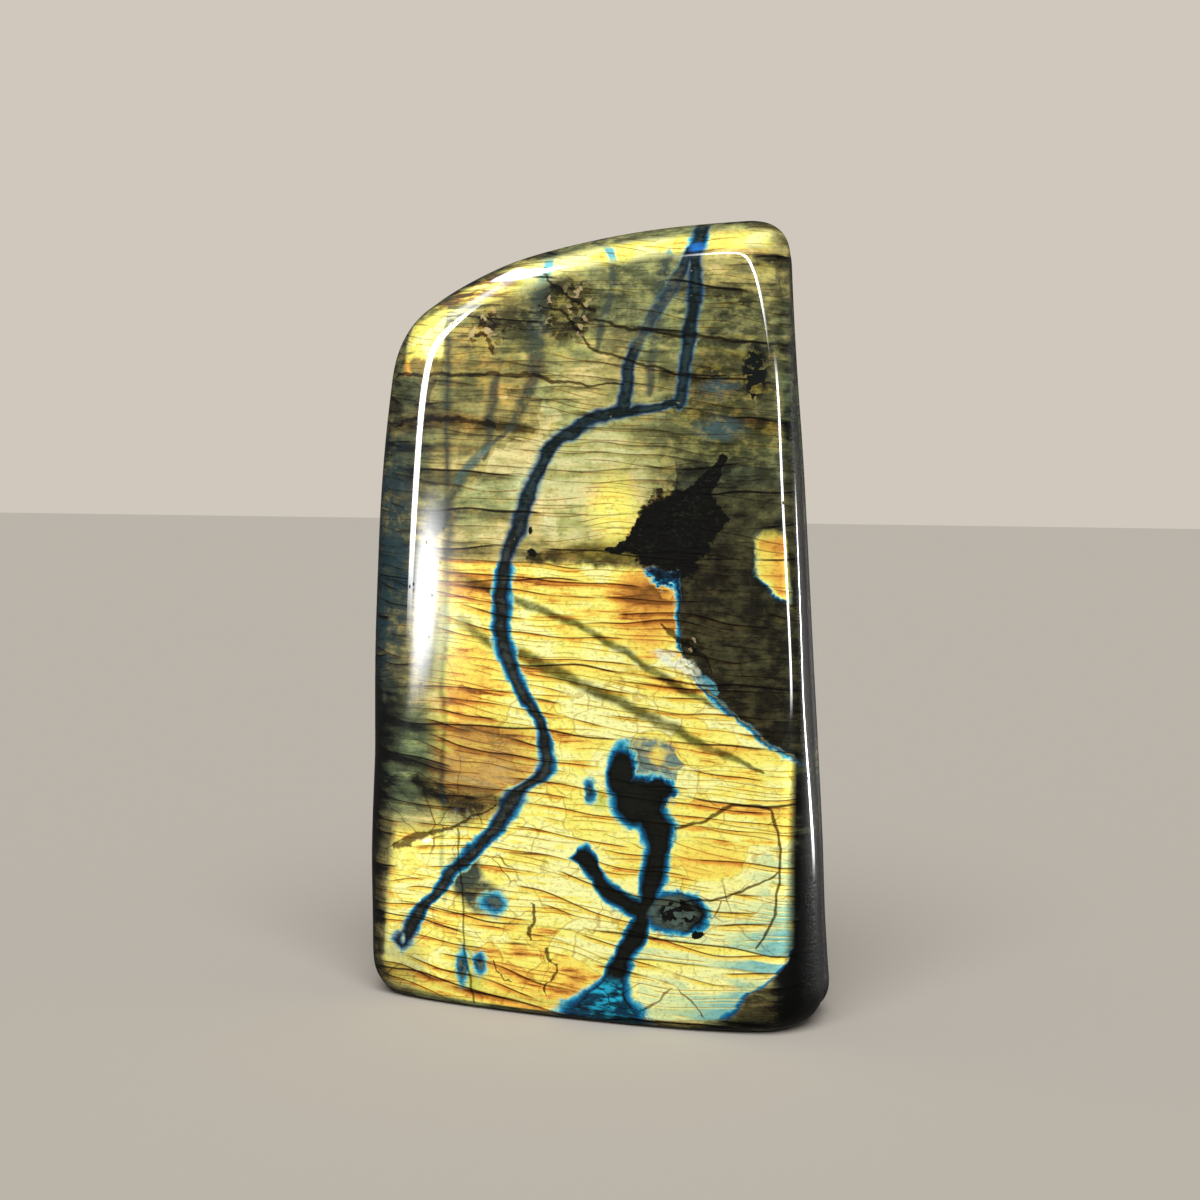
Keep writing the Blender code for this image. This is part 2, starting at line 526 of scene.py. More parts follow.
def blob(place, middle, radii):
    """0 in the middle of an ellipse and 1 on its edge."""
    x, z = middle
    factors = (1 / radii[0], 0, 1 / radii[1])
    off = scaled(place, factors, (-x / radii[0], 0, -z / radii[1]))
    node = add("VectorMath", operation="LENGTH")
    feed(node.inputs[0], off)
    return Value(node.outputs["Value"])


# %% [markdown]
# ## Places in the stone
# All patterns are measured in millimetres on the stone itself. Nothing in a mineral is
# straight, so the lines are drawn at slightly shifted places: `wavy` ones for veins and `torn`
# ones for ragged borders. Drawing every kink by hand would take far longer.

# %% Places
material = bpy.data.materials.new("labradorite")
shader = work_on(material)["Principled BSDF"]
TO_MM = (1000, 1000, 1000)
coordinates = add("TexCoord")
here = scaled(Value(coordinates.outputs["Object"]), TO_MM)
here_x, here_y, here_z = split(here)
normal_x, normal_y, normal_z = split(Value(coordinates.outputs["Normal"]))


def shifted(scale, detail, rough, distance):
    """Places moved about by noise, up to roughly this distance either way."""
    noise_here = clouds(here, scale, detail, rough, colour=True)
    shift = scaled(noise_here, (distance * 2,) * 3, (-distance,) * 3)
    return feed_all(add("VectorMath", operation="ADD"), here, shift)


wavy = shifted(0.12, 3, 0.55, 1.8)
torn = shifted(0.35, 4, 0.6, 1.5)

# %% Textures
# Broad patches, flat streaks, cloudy mottle and fine grain, all around 0.5
patches = clouds(scaled(here, (1, 0.6, 1.3)), 0.055, 3, 0.5)
streaks = clouds(scaled(here, (0.18, 0.3, 1.5), (40, 0, 9)), 0.5, 4, 0.6)
mottle = clouds(scaled(here, (0.8, 0.8, 1.3), (9, 0, 4)), 0.36, 4, 0.65)
grain = clouds(scaled(here, (1, 1, 1.7)), 1.1, 3, 0.65)
# fringe makes the veins now wider and now narrower
fringe = (clouds(here, 0.35, 3, 0.6) - 0.5) * 0.9 + 1
blue_streaks = fade(clouds(scaled(here, (0.8, 0.6, 2.4), (0, 0, 5)), 0.5, 3), 0.44, 0.62)
# Facets and sparkles are cells with a random number each
facet_place = scaled(shifted(0.2, 2, 0.5, 3.5), (0.75, 0.6, 1.25))
facet, _ = flakes(facet_place, 0.13)
facet_edge = cells(facet_place, 0.13)
cracked = cells(scaled(wavy, (1, 0.7, 1.5)), 0.085)
sparkle, spark_off = flakes(scaled(torn, (1, 1, 1.3)), 0.9)
spark_middle = fade(spark_off, 0.3, 0.1)

# The shifted places are taken apart and put together again, because the renderer works through
# the nodes in this order and so keeps fewer of them in mind at a time.
x, y, z = split(wavy)
torn_x, torn_y, torn_z = split(torn)
wavy = vector(x, y, z)
torn = vector(torn_x, torn_y, torn_z)
report("textures")

# %% [markdown]
# ## Layers and strength
# Labradorite is built of layers thinner than a wavelength of light, and their thickness sets
# the colour they throw back: none in the thinnest, then blue, green, gold and orange. One
# number, `layers`, stands for that thickness. Another, `strength`, says how bright the flash
# is. The flash is a painted sheen: the light the layers throw back is painted into the base
# colour, faded where the surface turns left, right or down, and brightened on the shoulder and
# along the top edge, where the light meets the layers best. Blender can compute thin films,
# but a ramp of colours is easier to match to one stone.

# %% Where the flash can be
lower = fade(torn_z + x * 0.02, 86.6, 85.2)
upper = 1 - lower
# Painted sheen: the flash fades by the direction of the surface, towards the left, the right, the
# base and off the front.
fade_left = fade(normal_x + (mottle - 0.5) * 0.18, -0.34, -0.13)
left_top = torn_z + (patches - 0.5) * 18
fade_left = fade_left * (1 - fade(left_top, 34.5, 39) * fade(torn_x, -22, -30))
fade_right = fade(normal_x, 0.85, 0.6)
fade_base = fade(normal_z, -0.45, -0.15)
front = fade(normal_y, -0.1, -0.5)


# %% Areas
def area(middle, radii, start=1.25, end=0.4, place=wavy):
    """1 inside an ellipse, easing to 0 outside it."""
    return fade(blob(place, middle, radii), start, end)


brown_gold = area((-16, 48), (14, 10))
bright_spot = area((11, 96.5), (6.5, 8), 1.2, 0.2)
light_tan = area((5, 101), (17, 15), 1.15, 0.6)
under_black = area((18, 82.5), (9, 4.5))
orange = area((-19, 66), (8, 9)) * 0.24
for middle, radii, amount, place in (
        ((-20, 81), (8, 5), 0.16, wavy), ((19, 77), (8, 8), 0.17, wavy),
        ((31, 30), (10, 5), 0.12, wavy), ((-4, 8), (18, 8), 0.16, wavy),
        ((21, 18), (3, 2.4), 0.22, torn), ((32, 9), (5, 2), 0.25, torn)):
    orange = orange + area(middle, radii, place=place) * amount
orange = orange + brown_gold * 0.25 + under_black * 0.16
notch = fade(band(x, torn_z, [
    (-31, 43, 1.6), (-25, 41, 3.6), (-20.5, 39.2, 4), (-16, 39.8, 3), (-11, 40.6, 1.2)]),
    1.5, 0.3) * fade(mottle, 0.32, 0.5, 0.7, 1)
report("areas")

# %% Thickness of the layers
layers = fade(streaks, 0.5, 0.78) * 0.34 + fade(patches, 0.52, 0.7) * 0.12
layers = layers + (mottle - 0.5) * 0.28 + (facet - 0.5) * 0.18 + 0.49 + orange
pale_top = curve(x, [
    (16, 18), (20, 22), (24, 25.5), (28, 28.3), (35, 30.2), (41.5, 34.5), (46, 37)])
pale_corner = fade(torn_z - pale_top, 0.6, -1.6) * fade(torn_x, 15.5, 18.5)
from_corner = (torn_z - torn_x + 32.2) * 0.7
pale_layers = fade(from_corner, 2, 13, 0.35, 0.43) + (mottle - 0.5) * 0.1
pale_layers = highest(pale_layers + (patches - 0.5) * 0.12 + (streaks - 0.5) * 0.06, 0.35)
layers = highest(layers, 0.46)
layers = between(layers, pale_layers + orange * 0.35, pale_corner)
slope_orange = fade(x, -8, -14) * fade(z, 134.5, 137)
layers = layers - bright_spot * 0.17 + slope_orange * fade(streaks, 0.6, 0.46) * 0.42
shoulder_low = fade(torn_z, 126, 124.5) * upper
layers = layers + shoulder_low * 0.22
report("layers")

# %% Strength of the flash
strength = lower * (1 - brown_gold * 0.42) * (1 - notch)
strength = strength * (1 - area((-34, 8), (6, 7), place=torn) * 0.5)
strength = strength + upper * (bright_spot * 0.85 + light_tan * 0.14)
strength = strength + upper * fade(mottle, 0.46, 0.66, 0.03, 0.2)
# Painted sheen: the flash is brightened on the shoulder and along the top rim, by the direction of
# the surface.
shoulder = fade(torn_x, -38.5, -36.5) * fade(x, -26.8, -28.2) * fade(torn_z, 121.5, 122.8)
shoulder = shoulder * fade(normal_z, 0.6, 0.48)
shoulder = shoulder * (1 - shoulder_low * fade(x, -36.5, -35) * 0.85)
top_rim_sheen = fade(normal_z, fade(x, -12, 8, 0.14, 0.24), 0.46) * fade(normal_z, 0.8, 0.6) * upper
slope_streaks = fade(streaks, 0.42, 0.58, 0.15, 0.9)
top_edge_sheen = top_rim_sheen * between(slope_streaks, 1, fade(x, -14, -7)) * fade(here_x, 40.5, 38.5)
top_edge_sheen = top_edge_sheen * fade(x, -36, -32)
strength = strength * fade_left
strength = highest(strength, highest(shoulder, top_edge_sheen))
strength = strength * fade_right * fade_base * front
# A faint painted sheen in random patches on the back.
back = fade(normal_y, 0.2, 0.6)
strength = strength + back * fade(patches, 0.5, 0.64) * fade(mottle, 0.4, 0.62) * 0.4
report("strength")

# %% [markdown]
# ## Veins
# Veins are old cracks that another mineral has healed. Each is a line through a few points: how
# far along, where the middle is, and half the width. Upright ones run from bottom to top, and
# flat ones from left to right. What counts later is how many half-widths a place is from the
# nearest vein, because that one number gives both core and border.

# %% Veins
main_vein = band(z, x, [
    (11, -34.4, 1.2), (16.8, -31, 0.9), (21.8, -26.3, 0.85), (26.9, -21.7, 0.9),
    (30.3, -17.9, 1.15), (33.9, -14.3, 1.25), (38.5, -10.7, 1.25), (42.6, -7.9, 1.2),
    (45.3, -3.6, 1.1), (48.6, -1.6, 0.85), (52.4, -2.3, 0.75), (56.6, -4.5, 0.7),
    (60.9, -7.2, 0.75), (65.1, -9.5, 0.9), (72.3, -12.2, 1), (78.9, -12.3, 1),
    (85.6, -11.6, 1), (93.3, -9, 1.05), (100.1, -6.9, 1), (104.7, -4.9, 1.05),
    (108, -2.4, 1.15)])
hook = band(x, z, [
    (-3, 107.6, 1.2), (0, 109.8, 1), (3, 111.4, 0.9), (7.5, 113.4, 0.8),
    (12.6, 114.5, 0.75), (18, 115.3, 0.5), (23.4, 116.6, 0.4)])
top_vein = band(z, x, [
    (116.2, 23.6, 0.75), (119.4, 24.2, 0.7), (125.6, 24.9, 0.7), (133.1, 25.5, 0.75),
    (142.2, 26.2, 0.9), (150, 25.3, 1.1)])
branch = band(z, x, [
    (114.5, 12, 0.9), (119.4, 12.8, 0.85), (125.5, 14, 0.85), (130.2, 17.2, 0.8),
    (137, 21.4, 0.75), (144.5, 24.9, 0.6)])
veins = lowest(main_vein, hook, top_vein, branch) * fringe
loop = blob(wavy, (-34.3, 11.8), (0.7, 1.6))
veins = highest(veins, 2.4 - loop * 1.3)
report("veins")

# %% [markdown]
# ## Cracks deep in the stone
# Flat cracks under the polish are seen edge-on, as soft grey or blue lines. Sheets inside a
# see-through stone would be truer but slow to render, so these too are drawn, with soft borders.

# %% Deep cracks
deep_left = band(z, x, [(20, -24.5, 0.8), (58, -25.4, 1), (96, -25, 1.3), (138, -28.6, 1)])
deep_middle = band(z, x, [
    (111.5, -10.9, 0.9), (115.3, -8.6, 1.2), (119.8, -7.1, 1.5), (124.1, -6, 1.8),
    (131, -5.5, 2), (141.5, -5.3, 1.2), (145, -4.9, 0.9)])
deep_branch = band(z, x, [
    (93, -27.4, 1.6), (102, -21.9, 1.2), (106.8, -17.6, 1), (112, -10.5, 0.8),
    (119, -6.5, 0.7)])
deep_small = band(z, x, [(106, -17, 0.6), (114, -15.3, 1), (121.6, -14.8, 0.5)])
deep_right = band(z, x, [
    (126, 6.4, 0.4), (130, 7.6, 0.6), (133.5, 9, 0.6), (138, 9.7, 0.7), (146, 3.6, 0.8)])
deep_top = band(z, x, [(118, 17.6, 0.6), (132, 19.1, 1.1), (144, 20.1, 0.8)])
deep = lowest(deep_left + 0.55, deep_middle, deep_branch, deep_small, deep_right, deep_top)
high_crack = band(x, z, [
    (-24.2, 84.4, 1.5), (-14.4, 80.2, 0.8), (-1.5, 76.4, 0.6), (11.1, 71.5, 0.8),
    (20.4, 66.3, 0.9), (30.3, 61.3, 0.7), (36, 58.3, 0.3)])
low_crack = band(x, z, [
    (-22, 74.5, 1.6), (-11.3, 69.4, 1), (-1.3, 66.2, 1.1), (9.9, 62, 1),
    (20.6, 57.4, 1), (31, 52.3, 0.7), (41, 48.7, 0.3)])
shadows = lowest(high_crack, low_crack)
report("deep cracks")

# %% [markdown]
# ## Inclusions
# Other minerals grew in the stone: a black patch with a ragged border, a dark zone beside it,
# and a chain of dark blots near the base. They lie under the polish, so they need no mesh of
# their own, and noise tears their borders.

# %% Black patch and dark zone
black_patch = lowest(
    band(torn_x, torn_z, [
        (9, 88.6, 0.2), (12.5, 89.2, 0.9), (15, 90.6, 2.9), (18, 91.9, 5.9), (21, 92, 7.6),
        (25, 92.5, 7.8), (28, 93.5, 6.5), (30, 94.5, 4.5), (32.5, 95, 1.5)]),
    band(torn_z, torn_x, [
        (95, 23.5, 5), (98, 26, 3.4), (100.5, 28.2, 2.4), (103, 30.2, 1.5), (106, 32, 0.6)]))
black_patch = black_patch + (mottle - 0.5) * 0.9 + (grain - 0.5) * 0.6 + fade(here_y, 1, 9) * 2
tail = band(torn_x, torn_z, [(-7, 87, 0.6), (0, 87.8, 1.4), (8, 88.6, 2.2), (14, 89, 3)])
border = curve(torn_x, [
    (20, 112), (22.8, 90), (24.2, 86), (25, 72), (27, 67), (30, 63.4), (35, 59.6), (40, 55.6),
    (49, 50)])
inside = torn_z - border - fade(torn_x, 24.2, 21) * 80
zone = fade(inside, -0.4, 0.5) * fade(torn_z, 112, 98)


# %% Blots
def beside(ratio, width):
    """The same ratio, with a border as thin as that of a vein one millimetre wide."""
    return ratio * width - (width - 1)


chain = beside(band(z, x, [
    (21.8, 18.4, 1.1), (26.9, 20, 1.4), (32, 20.7, 1.7), (35.2, 21, 1.9), (39, 19.5, 3)]), 1.7)
lumps = beside(lowest(
    blob(torn, (13.6, 47.2), (2.4, 4.4)), blob(torn, (17.2, 42.4), (4.4, 3.8)),
    blob(torn, (20.6, 44.6), (2.9, 1.5))), 3.2)
chain_left = beside(band(x, z, [
    (4.6, 31, 0.8), (7.2, 30, 1.5), (9.3, 27.5, 1.4), (12, 24.8, 1.5), (14.7, 23, 1.4),
    (18.4, 21.8, 1.2)]), 1.4)
chain_down = beside(band(z, x, [
    (-1, 10.4, 7), (3.2, 10.9, 5), (7, 12.2, 2.4), (11, 13.6, 1.6), (13.5, 14.9, 1.5),
    (16.8, 16.9, 1.4), (21.8, 18.4, 1.2)]), 1.8)
blot = blob(torn, (25, 22), (4.8, 2.9))
chain_blot = beside(blot, 2.6)
chains = lowest(chain, lumps, chain_left, chain_down, chain_blot) * fringe
small_blots = lowest(
    blob(torn, (7.2, 43.7), (1.3, 2)), blob(torn, (-13.2, 20.8), (2.7, 1.9)),
    blob(torn, (-19.9, 8), (1.2, 3.2)), blob(torn, (-16.2, 9), (1.4, 2.2)))
small_blots = beside(small_blots, 1.2) + 1.05
grey_blots = highest(area((-19.4, 25.6), (3.6, 4.2), 1.4, 0.8, torn),
                     area((-15.6, 21.8), (4.2, 2.8), 1.4, 0.8, torn))
faint_halos = lowest(blob(torn, (-18, 8), (4.2, 4.6)), blob(torn, (9, 42.3), (2.4, 2.2)))
grey_patch = fade(band(torn_x, torn_z, [
    (12.5, 51, 1.2), (15, 50.8, 3.4), (19, 50.2, 4), (22.5, 49.6, 4),
    (24.5, 49.4, 1.5)]), 1.15, 0.8)

# %% Other shapes
fine_line = band(z, x, [
    (1, -17.4, 0.3), (7.3, -18.6, 0.3), (19.9, -20.2, 0.25), (34.5, -21.2, 0.2)])
# The rounded bottom-right corner, darkened further down as painted shade where the edge turns away.
corner = band(z, x, [
    (-1, 49, 16), (3.6, 49, 13.5), (7.2, 49, 9.6), (9.8, 49, 6.6), (14.2, 49, 4),
    (19.7, 49, 2.4), (26, 49, 1)])
window = band(torn_z, torn_x, [
    (79, 46, 1), (82, 44.3, 2.2), (84.5, 42.9, 3), (88, 42.2, 3.3), (92, 42.2, 3.4),
    (95, 43, 2)])
pale_fracture = band(torn_x, torn_z, [
    (19, 70.4, 0.6), (22, 69.4, 1.2), (25, 68, 1.7), (28.5, 66, 1.6), (31.8, 63.2, 0.8)])
report("inclusions")

# %% [markdown]
# ## Borders of the flash
# Towards a vein or an inclusion the layers thin out, so gold turns green and then blue before it
# ends. Everything with such a border is joined into one distance, `near`, which keeps borders
# even where two of them meet. The gold window in the dark zone has layers of its own.

# %% Borders
dark_rim = highest(inside * -1.1, 0) + 1.1 + fade(z, 93, 97) * 3
black_rim = highest(black_patch * 6 - 5.4, 1.2) + fade(z, 85, 88) * 3
upright_rim = band(torn_z, torn_x, [(71, 25.4, 0.8), (78, 24.5, 0.7), (86, 23.6, 0.5)]) + 0.9
near = lowest(veins, chains, small_blots, dark_rim, black_rim, upright_rim)
translucent = area((18, 134.5), (6, 9), 1.25, 0.7)
near = highest(near, translucent * 1.2)
# Painted shade: the flash turns blue-black on the rounded bottom-right corner.
layers = lowest(layers, corner * 1.5 - 1.36)
# Along the top rim, where the sheen is painted, the layers turn cyan near the deep cracks.
layers = between(layers, 0.335, top_rim_sheen * fade(deep, 1.7, 0.5) * fade(x, -14, -11))
layers = between(layers, 0.22, zone)

# %% Gold window
window_off = window + fade(torn_z, 84, 90) * 0.2 + fade(x, 43.5, 45.5) * 0.4
window_layers = fade(window, 0.5, 1.6, 0.66, fade(torn_z, 81, 87, 0.14, 0.4))
window_layers = window_layers + (streaks - 0.5) * 0.4
warmer = fade(torn_z, 86, 92) + fade(torn_x, 41, 45)
window_layers = window_layers + warmer * fade(window, 1.1, 0.6) * 0.16
gold_window = front * fade(normal_x, 0.97, 0.75) * fade(window_off, 1.7, 0.9)
gold_window = gold_window * fade(torn_z, 96, 90) * fade(here_x, 46.4, 43.4)
layers = between(layers, window_layers, gold_window)
window_light = fade(gold_window, fade(torn_z, 82, 88, 0, 0.45), 1) * 0.9
strength = highest(strength * (1 - zone), window_light)
layers = between(layers, (facet - 0.5) * 0.3 + 0.52, grey_patch)
report("borders and window")

# %% [markdown]
# ## Body of the stone
# Where there is no flash one looks into the stone itself: olive, tan and brown layers with
# nearly black inclusions. One number, `tone`, says how dark it is, and a colour ramp turns it
# into a colour. The flash and its borders have ramps too, because a ramp keeps neighbouring
# colours together.

# %% Colour ramps
FLASH = [
    (0, (0.01, 0.012, 0.013)), (0.1, (0.016, 0.032, 0.042)), (0.17, (0.007, 0.055, 0.15)),
    (0.25, (0.006, 0.11, 0.29)), (0.315, (0.02, 0.32, 0.5)), (0.35, (0.24, 0.56, 0.52)),
    (0.4, (0.55, 0.76, 0.42)), (0.46, (1, 1, 0.42)), (0.56, (1, 0.95, 0.2)),
    (0.68, (1, 0.8, 0.13)), (0.78, (0.9, 0.5, 0.08)), (0.9, (0.6, 0.25, 0.04)),
    (1, (0.26, 0.11, 0.02))]
BODY = [
    (0, (0.003, 0.003, 0.002)), (0.15, (0.018, 0.016, 0.008)), (0.32, (0.07, 0.064, 0.026)),
    (0.5, (0.19, 0.175, 0.068)), (0.7, (0.47, 0.43, 0.15)), (1, (0.97, 0.92, 0.46))]
EDGE = [
    (0, (0.048, 0.055, 0.044)), (0.2, (0.032, 0.04, 0.038)), (0.32, (0.01, 0.024, 0.036)),
    (0.43, (0.005, 0.05, 0.12)), (0.54, (0.007, 0.13, 0.3)), (0.63, (0.02, 0.32, 0.54)),
    (0.73, (0.18, 0.6, 0.66)), (0.84, (0.62, 0.88, 0.58)), (1, (0.98, 1, 0.42))]


def spectrum(value, colours):
    """The colour that belongs to a value."""
    node = add("ValToRGB")
    stops = node.color_ramp.elements
    while len(stops) < len(colours):
        stops.new(0.5)
    for stop, (at, colour) in zip(stops, colours):
        stop.position = at
        stop.color = (*colour, 1)
    feed(node.inputs[0], value)
    return Value(node.outputs["Color"])


# %% [markdown]
# ## Lines of cleavage
# Feldspar splits along flat planes, and the polish cuts them as fine broken lines, each with a
# soft shade beneath. Stretched noise gives only streaks. Rows with a random shift of their own
# stay thin and apart, and three spacings together look natural.

# %% Cleavage
def cleavage(spacing, slope, seed, thick, length):
    """Broken lines across the face, and the shade under each of them."""
    bend = clouds(scaled(here, (0.5, 0.5, 1), (seed, 0, seed)), 0.045, 2, 0.45)
    height = here_z + here_x * slope + bend * 13
    rows = height * (1 / spacing)
    row = calc("FLOOR", rows)
    seeded = row + seed
    own = add("TexWhiteNoise", noise_dimensions="1D")
    feed(own.inputs["W"], seeded)
    off = (rows - row - 0.5) - (Value(own.outputs["Value"]) - 0.5) * 0.5
    gaps = clouds(vector(here_x * (1 / length), here_y * 0.1, row * 7.31 + seed), 1, 2)
    seen = fade(gaps, 0.46, 0.56)
    line = fade(calc("ABSOLUTE", off), thick / spacing, thick * 0.3 / spacing)
    shade = fade(off, -0.5, -0.02) * fade(off, 0.03, 0)
    return line * seen, shade * seen


fine_lines, fine_shade = cleavage(1.1, 0.04, 31, 0.14, 12)
lines, shade = cleavage(2.4, 0.08, 3, 0.2, 20)
bold_lines, bold_shade = cleavage(7, 0.05, 17, 0.3, 26)

# %% Darker and lighter places
not_back = fade(normal_y, 0.75, -0.15, 0.25, 1)
# Painted shade: the sides are darkened where the surface turns away from the light.
left_side_shade = fade(normal_x, -0.12, -0.4) * not_back
far_left_shade = fade(here_x, -40.5, -44.5) * not_back
right_side_shade = fade(here_x, 42.5, 45.5) * not_back
dark_layer = fade(band(x, z, [
    (-42, 111.5, 0.8), (-36, 112.9, 1.2), (-26, 113.4, 1.6), (-17, 112.2, 1.3), (-6, 111.5, 0.6)]),
    1.6, 0.3)
high_layer = fade(band(x, z, [(-20, 132.5, 0.8), (-12, 132.6, 2), (-4, 132.4, 1.4)]), 1.6, 0.3)
mid_layer = fade(band(x, z, [(-41, 107.3, 0.6), (-28, 107.8, 1), (-16, 107.6, 0.5)]), 1.6, 0.3)
broken = area((0.5, 134), (6, 6.5), 1.2, 0.7, torn)
report("places in the body")

# %% Tone of the body
tone = (patches - 0.5) * 0.8 + (streaks - 0.5) * 0.85 + (mottle - 0.5) * 0.55
tone = tone + (facet - 0.5) * 0.2 + 0.56
tone = tone + light_tan * 0.3 + area((-16, 98), (11, 13)) * 0.19 + bright_spot * 0.15
tone = tone + area((0, 119), (12, 8)) * 0.18 + area((17, 124), (3, 8)) * 0.12
tone = tone - area((36, 120), (12, 24)) * 0.2
tone = tone - dark_layer * 0.26 - high_layer * 0.22 - mid_layer * 0.2 - broken * 0.2 - notch * 0.36
tone = tone - bold_shade * 0.26 - shade * 0.13
olive_left = area((-36, 47), (12, 12), 1.15, 0.6)
# Painted shade on the left and right sides and on the lower left rim, where the surface turns away.
tone = tone - left_side_shade * 0.1 - olive_left * 0.18 - area((-38, 84), (7, 24)) * 0.12
tone = tone - fade(normal_x, -0.25, -0.55) * fade(here_z, 70, 50) * not_back * 0.26
tone = tone - far_left_shade * 0.22 - right_side_shade * (fade(here_z, 70, 40) * 0.12 + 0.32)
zone_tone = (mottle - 0.5) * 0.75 + (streaks - 0.5) * 0.25 + 0.17
zone_tone = zone_tone + area((40, 100), (12, 12)) * 0.12 + area((33, 72), (10, 8)) * 0.07
tone = between(tone, highest(zone_tone, 0.05), zone)
# Painted shade on the rounded bottom-right corner; the tail of the black patch is its own dark
# colour.
tone = tone - fade(corner, 1.1, 0.9) * not_back * 0.28 - fade(tail, 1.5, 0.4) * 0.4
tone = tone - fade(black_patch, 1.15, 0.85) * 0.6

# %% Colour of the body
COOL, WARM = (0.6, 0.95, 1.2), (1.25, 0.92, 0.58)
colour = spectrum(tone, BODY)
warm = area((-16, 126), (22, 12), 1.2, 0.5) * fade(mottle, 0.45, 0.6, 0.5, 1)
warm = highest(warm, highest(broken, dark_layer))
warm = highest(warm, highest(notch, fade(streaks, 0.5, 0.75) * 0.6))
cool = highest(area((38, 108), (16, 22), 1.2, 0.5), highest(right_side_shade, olive_left))
cool = highest(cool, fade(patches, 0.56, 0.44) * 0.7)
tint(COOL, cool * (1 - zone * 0.7) * 0.85)
tint(WARM, warm * (1 - zone) * 0.8)

# %% Blue in the body
NIGHT_BLUE, HAZE, TEAL = (0.018, 0.06, 0.085), (0.035, 0.11, 0.15), (0.016, 0.04, 0.048)
PALE_CYAN = (0.11, 0.28, 0.27)
blue_left = area((-41, 86), (8, 26), 1.25, 0.6)
paint(NIGHT_BLUE, blue_left * fade(mottle, 0.62, 0.42, 0.25, 0.8))
smudges = lowest(blob(torn, (31.5, 119), (3.6, 1.8)), blob(torn, (31.5, 111.4), (4.8, 2)))
paint(HAZE, fade(smudges, 1.5, 0.3) * front * 0.65)
deep_tint = fade(deep, 1.8, 0.4) * fade(mottle, 0.35, 0.55, 0.7, 1)
paint(TEAL, deep_tint * 0.94)
cyan_here = fade(deep_branch, 1.5, 0.5) * fade(z, 99.5, 102.5) * fade(z, 109.5, 107)
paint(PALE_CYAN, cyan_here * fade(mottle, 0.4, 0.56, 0.25, 0.6))
report("body")

# %% [markdown]
# ## One colour over another
# From here the stone is coloured like a watercolour: the body first, then the flash, shadows,
# veins, inclusions and lines. `paint` covers what is there, and `tint` stains it. Separate
# materials can't blend like this, so it is all one material.

# %% Flash over body
GREY_SHADE, SOOT, CHARCOAL = (0.34, 0.42, 0.36), (0.085, 0.095, 0.055), (0.045, 0.065, 0.052)
FAINT_HALO, SLATE = (0.45, 0.62, 0.55), (0.13, 0.24, 0.25)
# Painted sheen: the flash colour is laid over the body where `strength` lets it show.
sheen_shown = fade(layers, 0.07, 0.24) * strength
flash = spectrum(layers + (shade * 0.16 + bold_shade * 0.2 + fine_shade * 0.08) * lower, FLASH)
paint(flash, sheen_shown)
tint(GREY_SHADE, deep_tint * 0.7 * lower)
soot = fade(shadows, 1.8, 0.4) * fade(mottle, 0.25, 0.6, 0.6, 0.92) * fade(x, -27, -15, 0.25, 1)
tint(SOOT, soot * (1 - zone))
paint(CHARCOAL, grey_blots * front * fade(mottle, 0.36, 0.54, 0.82, 0.99))
tint(FAINT_HALO, fade(faint_halos, 1.3, 0.5) * front * 0.65)
grey_patch = grey_patch * front * (1 - area((20.8, 51), (2, 1.8), 1.2, 0.5, torn) * 0.75)
paint(SLATE, grey_patch * fade(mottle, 0.38, 0.58, 0.45, 0.95))
report("flash")

# %% Veins and their borders
BLACKER, DULLER, DARKER = (0.2, 0.2, 0.17), (0.4, 0.48, 0.55), (0.35, 0.35, 0.32)
BLUER = (0.5, 0.85, 1.05)
THREE_HALF_WIDTHS = 0.3333  # so far the ramp reaches
below, colour = colour, spectrum(near * THREE_HALF_WIDTHS, EDGE)
tint(BLACKER, fade(chains, 1.1, 0.7) * fade(mottle, 0.42, 0.54, 0.6, 1))
tint(DULLER, fade(near, 0.9, 1.3) * (1 - strength))
tint(DARKER, fade(near, 1.2, 0.9) * fade(mottle, 0.56, 0.44))
tint(BLUER, fade(z, 86, 100) * fade(near, 1, 0.6))
edge, colour = colour, below
near = near + fade(mottle, 0.5, 0.34) * fade(near, 1.3, 1.9) * 0.55
edge_here = between(fade(near, 2.5, 1.1), fade(near, 3, 2), strength) * front
edge_here = edge_here * (1 - translucent * 0.34) * (1 - zone) * (1 - gold_window)
paint(edge, edge_here)
report("borders")

# %% Blots and the blue triangle
BLOT_GREY, STONE_GREY, NEAR_BLACK = (0.09, 0.14, 0.11), (0.085, 0.13, 0.11), (0.006, 0.007, 0.006)
DEEP_BLUE, LEAD, BRIGHT_BLUE = (0.006, 0.045, 0.09), (0.012, 0.014, 0.014), (0.02, 0.42, 0.66)
small_here = fade(small_blots, 2.1, 1.3) * front
paint(BLOT_GREY, small_here * fade(mottle, 0.42, 0.58))
blot_here = fade(blot + fade(x, 26, 29) * 0.35, 1.3, 0.95) * front
paint(STONE_GREY, blot_here * fade(mottle, 0.36, 0.5, 0.6, 0.95))
paint(NEAR_BLACK, fade(blot, 0.95, 0.6) * fade(sparkle, 0.5, 0.44) * front)
triangle = fade(chain_down, 1.2, 0.8) * fade(z, 10, 7) * front
paint(DEEP_BLUE, triangle)
paint(LEAD, triangle * fade(x, 10, 6) * fade(mottle, 0.44, 0.54))
paint(BRIGHT_BLUE, triangle * blue_streaks * fade(z, 0.5, 3))

